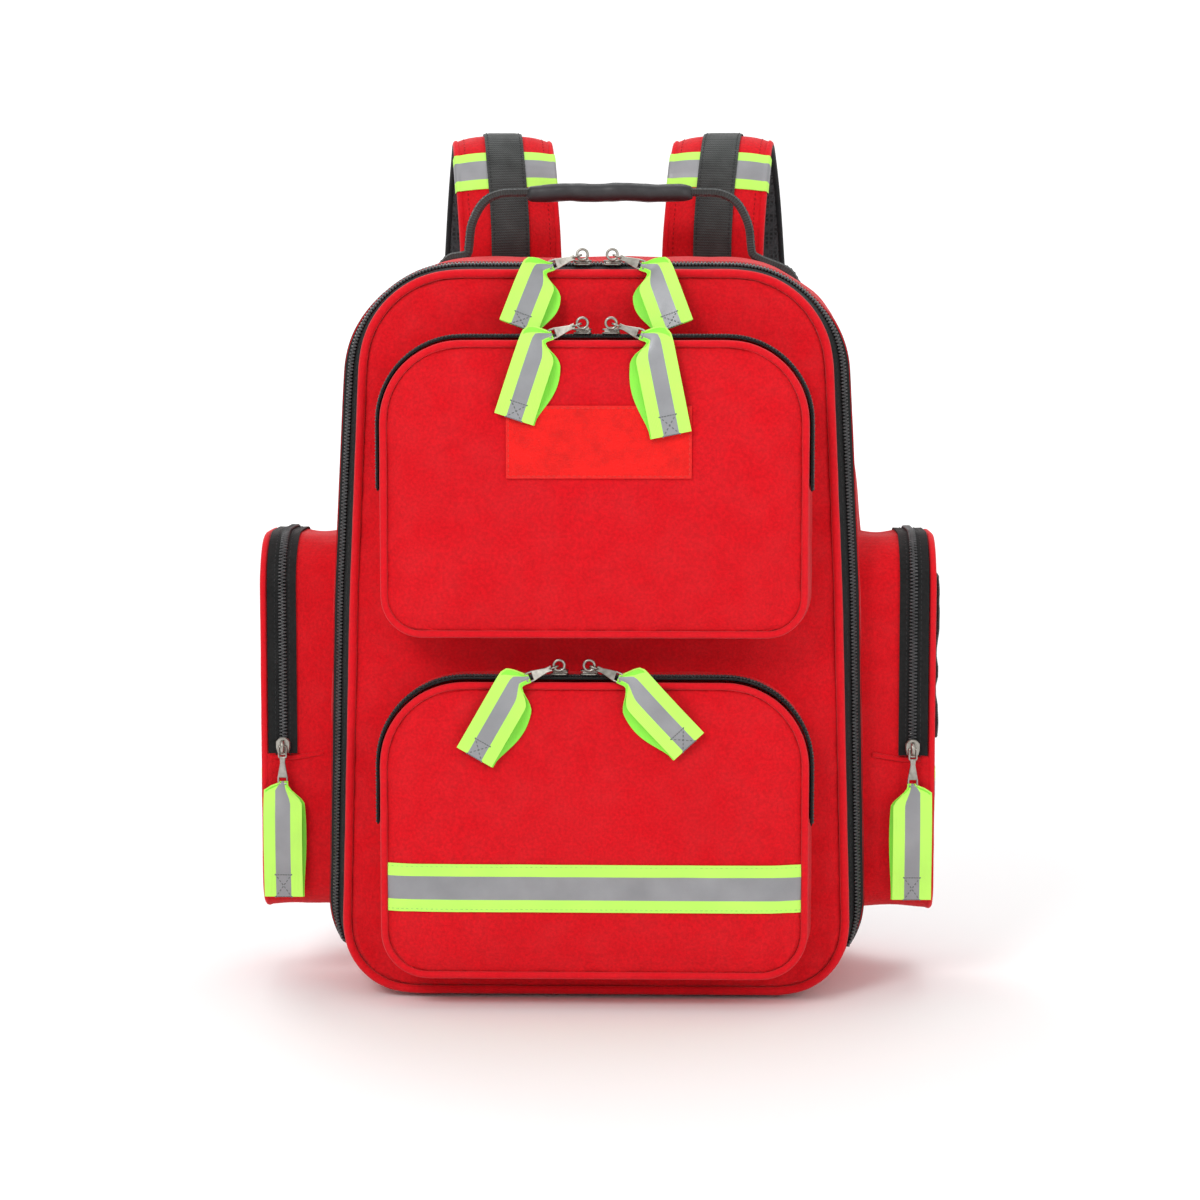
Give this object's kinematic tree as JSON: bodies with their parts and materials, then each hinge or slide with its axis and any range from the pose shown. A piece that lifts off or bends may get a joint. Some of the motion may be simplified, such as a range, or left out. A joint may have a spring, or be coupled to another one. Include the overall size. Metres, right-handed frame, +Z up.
{
  "type": "trauma backpack",
  "caption": "Red emergency backpack with a clamshell main compartment, front and side zip pockets, reflective band, carry handle and padded shoulder straps.",
  "frame": {"origin": "middle of the base panel's underside, on the ground", "axes": "+Z up, -Y out of the front panel, +X to the right when looking at the front"},
  "size_m": [0.4213, 0.3028, 0.5368],
  "materials": {
    "red_fabric": "matte woven polyester",
    "black_zip_tape": "matte",
    "black_mesh": "matte spacer mesh",
    "black_webbing": "matte ribbed webbing",
    "reflective_tape": "retroreflective silver with lime edges",
    "loop_pile": "brushed loop pile",
    "padding": "matte",
    "black_plastic": "moulded, satin",
    "nickel": "polished nickel plate"
  },
  "bodies": {
    "bag": {"back_panel": "red_fabric", "base_panel": "red_fabric", "left_side_panel": "red_fabric", "right_side_panel": "red_fabric", "top_panel": "red_fabric", "back_stiffener_sheet": "black_plastic", "back_pad": "black_mesh", "padded_divider": "padding", "main_zip_body_half": "black_zip_tape", "left_side_pocket_body": "red_fabric", "right_side_pocket_body": "red_fabric", "left_side_pocket_zip": "black_zip_tape", "right_side_pocket_zip": "black_zip_tape", "left_lower_webbing": "black_webbing", "right_lower_webbing": "black_webbing"},
    "front_door": {"front_panel": "red_fabric", "front_panel_piping": "red_fabric", "main_zip_door_half": "black_zip_tape", "upper_pocket_body": "red_fabric", "upper_pocket_zip": "black_zip_tape", "lower_pocket_body": "red_fabric", "lower_pocket_zip": "black_zip_tape", "reflective_band": "reflective_tape"},
    "upper_flap": {"upper_pocket_flap": "red_fabric", "name_badge_patch": "loop_pile"},
    "lower_flap": {"lower_pocket_flap": "red_fabric"},
    "left_side_flap": {"left_side_pocket_flap": "red_fabric"},
    "right_side_flap": {"right_side_pocket_flap": "red_fabric", "card_holder": "black_mesh"},
    "carry_handle": {"handle_webbing": "black_webbing", "handle_grip": "black_plastic"},
    "left_strap": {"left_shoulder_strap": "red_fabric", "left_ladder_lock": "black_plastic"},
    "right_strap": {"right_shoulder_strap": "red_fabric", "right_ladder_lock": "black_plastic"},
    "main_left_zip_slider": {"main_left_slider": "nickel"},
    "main_left_pull": {"main_left_pull_tab": "nickel", "main_left_pull_tape": "reflective_tape"},
    "main_right_zip_slider": {"main_right_slider": "nickel"},
    "main_right_pull": {"main_right_pull_tab": "nickel", "main_right_pull_tape": "reflective_tape"},
    "upper_left_zip_slider": {"upper_left_slider": "nickel"},
    "upper_left_pull": {"upper_left_pull_tab": "nickel", "upper_left_pull_tape": "reflective_tape"},
    "upper_right_zip_slider": {"upper_right_slider": "nickel"},
    "upper_right_pull": {"upper_right_pull_tab": "nickel", "upper_right_pull_tape": "reflective_tape"},
    "lower_left_zip_slider": {"lower_left_slider": "nickel"},
    "lower_left_pull": {"lower_left_pull_tab": "nickel", "lower_left_pull_tape": "reflective_tape"},
    "lower_right_zip_slider": {"lower_right_slider": "nickel"},
    "lower_right_pull": {"lower_right_pull_tab": "nickel", "lower_right_pull_tape": "reflective_tape"},
    "left_side_zip_slider": {"left_side_slider": "nickel"},
    "left_side_pull": {"left_side_pull_tab": "nickel", "left_side_pull_tape": "reflective_tape"},
    "right_side_zip_slider": {"right_side_slider": "nickel"},
    "right_side_pull": {"right_side_pull_tab": "nickel", "right_side_pull_tape": "reflective_tape"}
  },
  "joints": [
    {"name": "front_door_hinge", "type": "hinge", "parent": "bag", "child": "front_door", "pos_m": [0, -0.076, 0.003], "axis": [1, 0, 0], "range_deg": [0, 90]},
    {"name": "upper_flap_hinge", "type": "hinge", "parent": "front_door", "child": "upper_flap", "pos_m": [0, -0.1182, 0.313], "axis": [1, 0, 0], "range_deg": [0, 110]},
    {"name": "lower_flap_hinge", "type": "hinge", "parent": "front_door", "child": "lower_flap", "pos_m": [0, -0.1182, 0.112], "axis": [1, 0, 0], "range_deg": [0, 110]},
    {"name": "left_side_flap_hinge", "type": "hinge", "parent": "bag", "child": "left_side_flap", "pos_m": [-0.2092, 0, 0.145], "axis": [0, -1, 0], "range_deg": [0, 110]},
    {"name": "right_side_flap_hinge", "type": "hinge", "parent": "bag", "child": "right_side_flap", "pos_m": [0.2092, 0, 0.145], "axis": [0, 1, 0], "range_deg": [0, 110]},
    {"name": "carry_handle_hinge", "type": "hinge", "parent": "bag", "child": "carry_handle", "pos_m": [0.006, 0.03, 0.462], "axis": [1, 0, 0], "range_deg": [-55, 80]},
    {"name": "left_strap_hinge", "type": "hinge", "parent": "bag", "child": "left_strap", "pos_m": [-0.06, 0.082, 0.453], "axis": [1, 0, 0], "range_deg": [-4, 15]},
    {"name": "right_strap_hinge", "type": "hinge", "parent": "bag", "child": "right_strap", "pos_m": [0.072, 0.082, 0.453], "axis": [1, 0, 0], "range_deg": [-4, 15]},
    {"name": "main_left_slide", "type": "slide", "parent": "front_door", "child": "main_left_zip_slider", "axis": [1, 0, 0], "range_m": [-0.06, 0]},
    {"name": "main_left_pull_hinge", "type": "hinge", "parent": "main_left_zip_slider", "child": "main_left_pull", "pos_m": [-0.008, -0.08095, 0.4546], "axis": [1, 0, 0], "range_deg": [-35, 0]},
    {"name": "main_right_slide", "type": "slide", "parent": "front_door", "child": "main_right_zip_slider", "axis": [1, 0, 0], "range_m": [0, 0.06]},
    {"name": "main_right_pull_hinge", "type": "hinge", "parent": "main_right_zip_slider", "child": "main_right_pull", "pos_m": [0.01, -0.08095, 0.4546], "axis": [1, 0, 0], "range_deg": [-35, 0]},
    {"name": "upper_left_slide", "type": "slide", "parent": "upper_flap", "child": "upper_left_zip_slider", "axis": [1, 0, 0], "range_m": [-0.02, 0]},
    {"name": "upper_left_pull_hinge", "type": "hinge", "parent": "upper_left_zip_slider", "child": "upper_left_pull", "pos_m": [-0.007, -0.11395, 0.4136], "axis": [1, 0, 0], "range_deg": [-35, 0]},
    {"name": "upper_right_slide", "type": "slide", "parent": "upper_flap", "child": "upper_right_zip_slider", "axis": [1, 0, 0], "range_m": [0, 0.019]},
    {"name": "upper_right_pull_hinge", "type": "hinge", "parent": "upper_right_zip_slider", "child": "upper_right_pull", "pos_m": [0.01, -0.11395, 0.4136], "axis": [1, 0, 0], "range_deg": [-35, 0]},
    {"name": "lower_left_slide", "type": "slide", "parent": "lower_flap", "child": "lower_left_zip_slider", "axis": [1, 0, 0], "range_m": [-0.05, 0]},
    {"name": "lower_left_pull_hinge", "type": "hinge", "parent": "lower_left_zip_slider", "child": "lower_left_pull", "pos_m": [-0.021, -0.11395, 0.2096], "axis": [1, 0, 0], "range_deg": [-35, 0]},
    {"name": "lower_right_slide", "type": "slide", "parent": "lower_flap", "child": "lower_right_zip_slider", "axis": [1, 0, 0], "range_m": [0, 0.068]},
    {"name": "lower_right_pull_hinge", "type": "hinge", "parent": "lower_right_zip_slider", "child": "lower_right_pull", "pos_m": [-0.003, -0.11395, 0.2096], "axis": [1, 0, 0], "range_deg": [-35, 0]},
    {"name": "left_side_slide", "type": "slide", "parent": "bag", "child": "left_side_zip_slider", "axis": [0, 0, 1], "range_m": [0, 0.095]},
    {"name": "left_side_pull_hinge", "type": "hinge", "parent": "left_side_zip_slider", "child": "left_side_pull", "pos_m": [-0.1955, -0.055, 0.151], "axis": [1, 0, 0], "range_deg": [-95, 0]},
    {"name": "right_side_slide", "type": "slide", "parent": "bag", "child": "right_side_zip_slider", "axis": [0, 0, 1], "range_m": [0, 0.095]},
    {"name": "right_side_pull_hinge", "type": "hinge", "parent": "right_side_zip_slider", "child": "right_side_pull", "pos_m": [0.1955, -0.055, 0.151], "axis": [1, 0, 0], "range_deg": [-95, 0]}
  ]
}
